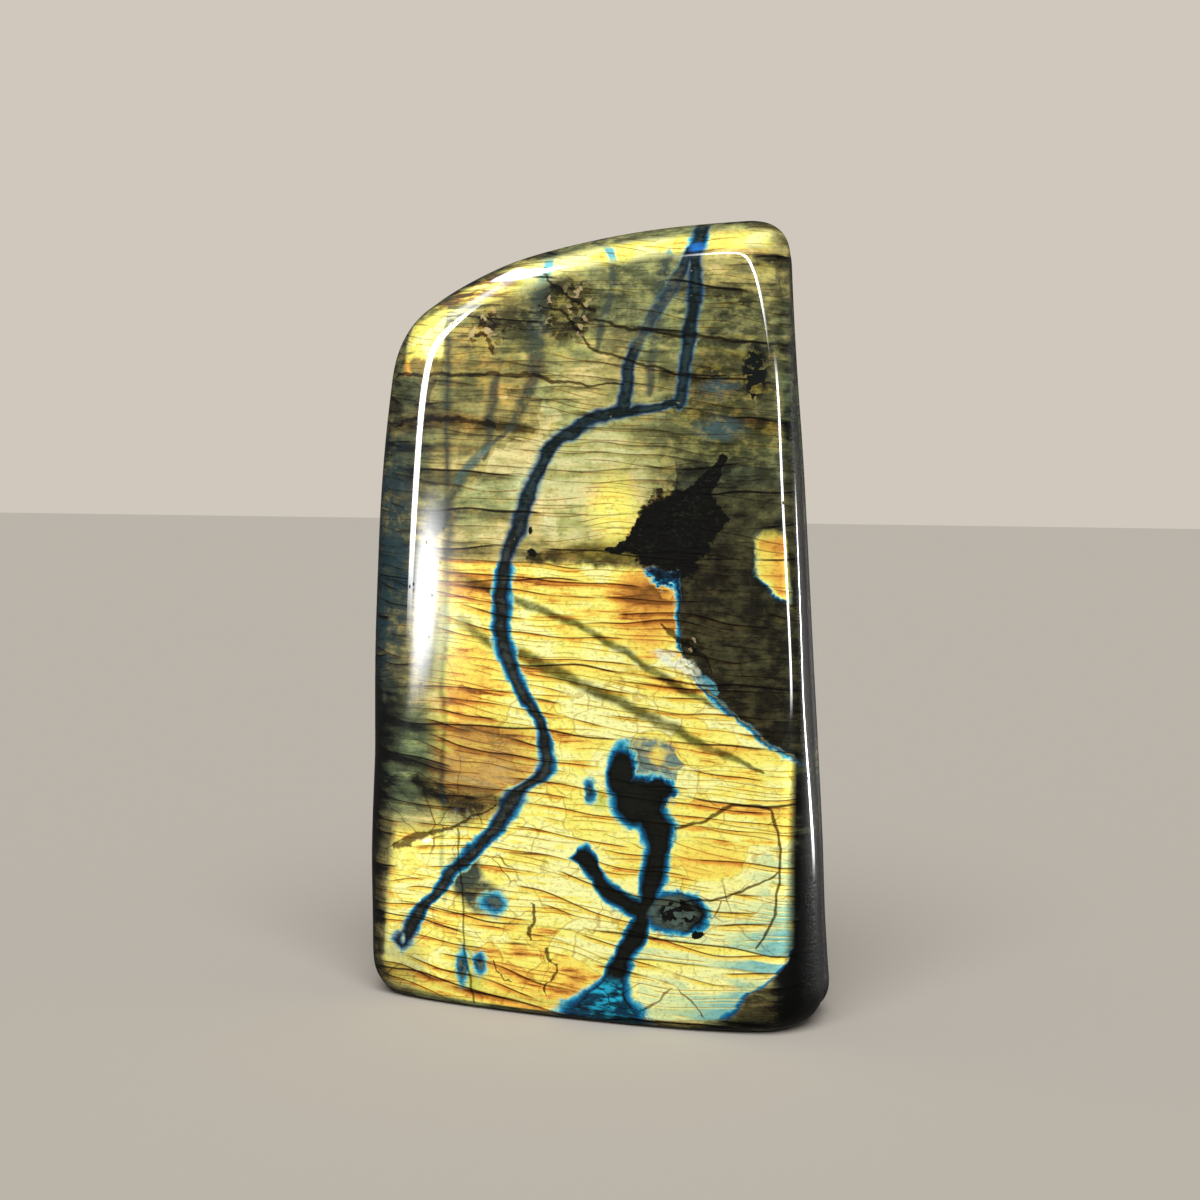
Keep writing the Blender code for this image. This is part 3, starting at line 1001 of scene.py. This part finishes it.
# %% Glow, pale fracture and black patch
ROYAL_BLUE, CREAM, CYAN = (0.015, 0.15, 0.52), (0.88, 0.92, 0.66), (0.1, 0.42, 0.58)
BLACK, BLACK_GRAIN = (0.004, 0.004, 0.003), (0.03, 0.031, 0.024)
top_glow = area((26.3, 144.6), (2, 1.2), 1.3, 0.3)
paint(ROYAL_BLUE, top_glow * front)
pale_here = fade(pale_fracture, 1.2, 0.6) * fade(torn_x, 18, 21) * front
paint(CREAM, pale_here * fade(x, 31, 26) * fade(mottle, 0.38, 0.5))
paint(CYAN, pale_here * fade(x, 26, 31) * 0.8)
paint(BLACK, fade(black_patch, 1.22, 0.84))
grain_here = fade(black_patch, 0.95, 0.4) * fade(grain, 0.54, 0.7) * 0.5
paint(BLACK_GRAIN, grain_here)
report("inclusions painted")

# %% Lines over all
AMBER, RUST, UMBER = (0.88, 0.6, 0.3), (0.4, 0.2, 0.07), (0.15, 0.08, 0.03)
SEPIA, OLIVE = (0.08, 0.05, 0.03), (0.1, 0.11, 0.06)
tint(AMBER, shade * 0.6 * lower)
tint(RUST, fine_lines * 0.75)
tint(UMBER, lines * (lower * 0.35 + 0.6))
tint(SEPIA, bold_lines * 0.95)
tint(OLIVE, fade(fine_line, 1.6, 0.4) * 0.8)
report("lines")

# %% [markdown]
# ## Fractures
# Curved cracks run through the lower half, where the stone once took knocks. The fine ones are
# borders between the cells of a distorted honeycomb. The larger ones are drawn one by one,
# because a texture never puts them where the stone has them.

# %% Honeycomb of fine cracks
SCALE_BROWN, CRACK_BROWN = (0.42, 0.22, 0.07), (0.26, 0.14, 0.04)
scale_lines = fade(facet_edge, 0.03, 0.008) * fade(here_z, 84, 60) * fade(patches, 0.62, 0.45)
tint(SCALE_BROWN, scale_lines * 0.45)
crack_here = fade(patches, 0.52, 0.62) * fade(here_z, 60, 35)
cracks = fade(cracked, 0.014, 0.005) * crack_here
tint(CRACK_BROWN, cracks * 0.85)

# %% Cracks one by one
CRACK_DARK = (0.1, 0.06, 0.02)
drawn_cracks = lowest(
    band(z, x, [
        (16.3, 40.5, 0.2), (20.8, 42.7, 0.3), (28.6, 44.4, 0.3), (33, 44.4, 0.3), (38.4, 43.5, 0.3),
        (41.7, 42.9, 0.2)]),
    band(x, z, [(24.2, 38, 0.2), (29.9, 39.4, 0.35), (36.7, 42.2, 0.35), (42.9, 41.7, 0.25)]),
    band(x, z, [(25.6, 24.7, 0.15), (31.4, 25.1, 0.3), (37, 27.1, 0.3), (44.2, 30.8, 0.2)]),
    band(x, torn_z, [(-37, 30, 0.4), (-33, 31.2, 0.8), (-29, 32.6, 0.7), (-23, 34.6, 0.4),
                     (-18, 37.4, 0.3), (-13, 39.6, 0.2)]),
    band(torn_z, torn_x, [(14.6, -4.7, 0.15), (16.2, -5.2, 0.35), (18.4, -4, 0.4),
                          (21.5, -5.1, 0.2)]),
    band(torn_z, torn_x, [(3.9, -0.9, 0.15), (6.5, -1.5, 0.3), (7.7, -0.1, 0.4), (9.9, 0.8, 0.3),
                          (11.3, -0.6, 0.4), (13.5, -1, 0.15)]),
    band(torn_x, torn_z, [(-13, 10, 0.15), (-12.2, 9.1, 0.3), (-11.2, 7.1, 0.3), (-9, 6, 0.15)]),
    band(torn_x, torn_z, [(21, 75, 0.2), (25, 72.4, 0.6), (29, 69.6, 0.5), (31, 67, 0.2)]),
    band(torn_x, z, [(-6, 141.4, 0.3), (-1, 137.8, 0.4), (3.3, 134.5, 0.4), (6.5, 132.5, 0.2)]),
    band(torn_x, z, [(-6, 135.2, 0.2), (-1, 133.8, 0.35), (3.3, 129, 0.4), (7.5, 125.7, 0.4),
                     (12.6, 124.2, 0.35), (25.7, 121.4, 0.25), (33, 121, 0.2)]),
    band(x, z, [(3, 131.5, 0.2), (19.6, 129.4, 0.3), (27.5, 128.5, 0.3), (40, 127, 0.2)]),
    band(x, z, [(-41, 121, 0.3), (-36, 122.4, 0.35), (-22, 122.2, 0.35), (-8, 121.5, 0.35),
                (0, 120.1, 0.3), (12, 119, 0.2)]),
    band(x, torn_z, [(-39, 112.2, 0.3), (-31, 113.5, 0.6), (-18, 112.9, 0.6), (-14, 111.6, 0.2)]))
tint(CRACK_DARK, fade(drawn_cracks, 1.4, 0.5) * 0.9)
report("fractures")

# %% [markdown]
# ## Grain, crystals and painted glints
# At the rough spots small dark crystals show, and painted glints stand for light caught by
# tiny facets. Both are smaller than the squares of the mesh, so they are cells of a texture,
# each dark or glinting by its random number.

# %% Grain and crystals
GRAIN_SHADE, CRYSTAL_SHADE = (0.45, 0.38, 0.26), (0.22, 0.16, 0.09)
TAN_GLINT, PALE_GLINT = (0.62, 0.47, 0.24), (0.62, 0.6, 0.44)
tint(GRAIN_SHADE, fade(grain, 0.5, 0.32) * 0.5)
glitter = highest(area((-17, 130), (4.5, 4.5), 1.1, 0.8, torn), broken * 0.8)
glitter = highest(glitter, area((26.8, 68), (2.2, 6.5), 1.1, 0.8, torn) * 0.6)
tint(CRYSTAL_SHADE, glitter * fade(sparkle, 0.45, 0.2))
# Painted glints on the rough spots.
paint(TAN_GLINT, glitter * fade(sparkle, 0.88, 0.95) * 0.7)
# Painted glints scattered over the upper half.
scattered_glints = fade(sparkle, 0.95, 0.99) * spark_middle
scattered_glints = scattered_glints * upper * fade(black_patch, 1, 1.3) * (1 - zone * 0.7)
paint(PALE_GLINT, scattered_glints * 0.35)
cluster = area((38.2, 121.4), (2.5, 5.2), 1.2, 0.8, torn) * fade(sparkle, 0.6, 0.54)
paint((0.005, 0.007, 0.006), cluster)
crystals = lowest(
    blob(torn, (-6.2, 88), (1.2, 0.9)),
    blob(torn, (-6.5, 92.2), (0.5, 0.9)), blob(torn, (29.2, 18.2), (1.2, 0.7)))
paint(BLACK, fade(crystals, 1.1, 0.85))
report("crystals")

# %% [markdown]
# ## The polish
# A polished stone is two surfaces in one: a soft colour inside, and a hard, clear reflection on
# top. The shader's coat is that reflection, so the colour below can stay dull. A glass shell
# would cost far more. Small pits take the coat away, and a little bump keeps the colour below
# from looking printed.

# %% Polish
feed(shader.inputs["Base Color"], colour)
set_all(shader, {"Roughness": 0.45, "Specular IOR Level": 0.05, "Coat IOR": 1.57,
                 "Coat Roughness": 0.025})
feed(shader.inputs["Metallic"], sheen_shown * 0.2)
bump = add("Bump")
set_all(bump, {"Strength": 0.25, "Distance": 0.4 * MM})
feed(bump.inputs["Height"], clouds(scaled(here, (0.3, 0.5, 1.6)), 0.9, 4, 0.6))
feed(shader.inputs["Normal"], Value(bump.outputs["Normal"]))
pit = cells(scaled(here, (1, 1, 0.7)), 0.9, "F1")
pit_here = fade(clouds(here, 0.35, 2), 0.5, 0.62)
feed(shader.inputs["Coat Weight"], 1 - fade(pit, 0.3, 0.16) * pit_here)
mesh.materials.append(material)
report("polish")

# %% Place in the frame
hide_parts("stone")
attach(stone, "root")

# %% [markdown]
# ## The floor
# A plain pale floor draws no eye away from the stone. It takes the soft shadow but isn't
# mirrored in the polish, where it would turn the dark parts grey. One dull square is enough,
# and no light shows in it.

# %% Floor
HALF_FLOOR = 3
FLOOR_COLOUR = (0.42, 0.39, 0.35, 1)
corners = [(x * HALF_FLOOR, y * HALF_FLOOR, 0) for x, y in ((-1, -1), (1, -1), (1, 1), (-1, 1))]
floor_mesh = bpy.data.meshes.new("floor")
floor_mesh.from_pydata(corners, [], [(0, 1, 2, 3)])
floor = placed("floor", floor_mesh)
floor_material = bpy.data.materials.new("pale_floor")
floor_shader = work_on(floor_material)["Principled BSDF"]
set_all(floor_shader, {"Base Color": FLOOR_COLOUR, "Roughness": 0.9, "Specular IOR Level": 0})
floor_mesh.materials.append(floor_material)
floor.visible_glossy = False
print("floor, m:", 2 * HALF_FLOOR)

# %% [markdown]
# ## The room
# The camera sees a plain warm wall, and soft light comes from the whole room. The polish
# mirrors a darker room: in a mirror as dark as this stone, a bright one would lie like a veil
# over the colours. The kind of ray chooses between them, which saves building walls.

# %% Room
ROOM_COLOUR = (0.6, 0.57, 0.52, 1)
world = bpy.data.worlds.new("studio")
nodes = work_on(world)
wall, room, mirrored = nodes["Background"], add("Background"), add("Background")
set_all(wall, {"Color": (0.7, 0.64, 0.56, 1), "Strength": 0.9})
set_all(room, {"Color": ROOM_COLOUR, "Strength": 0.5})
set_all(mirrored, {"Color": ROOM_COLOUR, "Strength": 0.06})
ray = add("LightPath").outputs
seen = room
for question, answer in (("Is Glossy Ray", mirrored), ("Is Camera Ray", wall)):
    choice = add("MixShader")
    for socket, source in zip(choice.inputs, (ray[question], seen.outputs[0], answer.outputs[0])):
        tree.links.new(source, socket)
    seen = choice
tree.links.new(seen.outputs[0], nodes["World Output"].inputs["Surface"])
bpy.context.scene.world = world
bpy.context.scene.view_settings.view_transform = "Standard"
report("room")

# %% [markdown]
# ## Lights for the colour and lights for the polish
# A photographer lights a polished stone twice. One broad, soft light brings out its colour.
# Narrow softboxes beside and above it show only as bright lines in the polish, and each is
# placed where its reflection falls on the rounded edge. Keeping the two kinds apart makes
# either easy to change.

# %% Soft light
SUN_ENERGY = 3.6
SUN_SPREAD = 50
SUN_TURN, SUN_RISE = 24, 50
sun = bpy.data.lights.new("soft_light", "SUN")
sun.energy = SUN_ENERGY
sun.angle = math.radians(SUN_SPREAD)
sun_object = placed("soft_light", sun)
sun_object.location = direction(SUN_TURN, SUN_RISE)
look_at(sun_object, Vector((0, 0, 0)))
sun_object.visible_glossy = False
print("sun energy:", sun.energy)


# %% Softboxes
def soft_edges(light, softness):
    """Lets the brightness fall off towards the edges of a rectangular light."""
    nodes = work_on(light)
    strength = None
    for part in split(Value(add("NewGeometry").outputs["Parametric"]))[:2]:
        for start, end in ((0, softness), (1, 1 - softness)):
            edge = fade(part, start, end)
            strength = strength * edge if strength else edge
    feed(nodes["Emission"].inputs["Strength"], strength)


def softbox(name, turn, rise, wide, tall, brightness, lean=0, distance=0.8, softness=0.2):
    """A light seen from the stone in that direction, with its size and lean in degrees."""
    light = bpy.data.lights.new(name, "AREA")
    light.shape = "RECTANGLE"
    light.size = 2 * distance * math.tan(math.radians(wide / 2))
    light.size_y = 2 * distance * math.tan(math.radians(tall / 2))
    light.energy = brightness * math.pi * light.size * light.size_y
    soft_edges(light, softness)
    obj = placed(name, light)
    obj.location = AIM + direction(turn, rise) * distance
    look_at(obj, AIM)
    obj.rotation_euler.rotate_axis("Z", math.radians(lean))
    obj.visible_diffuse = False
    obj.visible_camera = False


# %% Lines in the polish
softbox("left_strip", -64, 17, 6, 38, 34)
softbox("left_window", -50, 0.5, 30, 9, 34, softness=0.5)
softbox("shoulder_glow", -72, 39, 20, 20, 10, softness=0.5)
softbox("top_bar", -80, 48, 40, 8, 26)
softbox("front_bar", 6, 31, 60, 5, 34, lean=-27)
softbox("right_strip", 54, 6, 14, 24, 34, distance=0.5)
softbox("side_strip", 142, -5, 14, 24, 60, distance=0.35, softness=0.3)
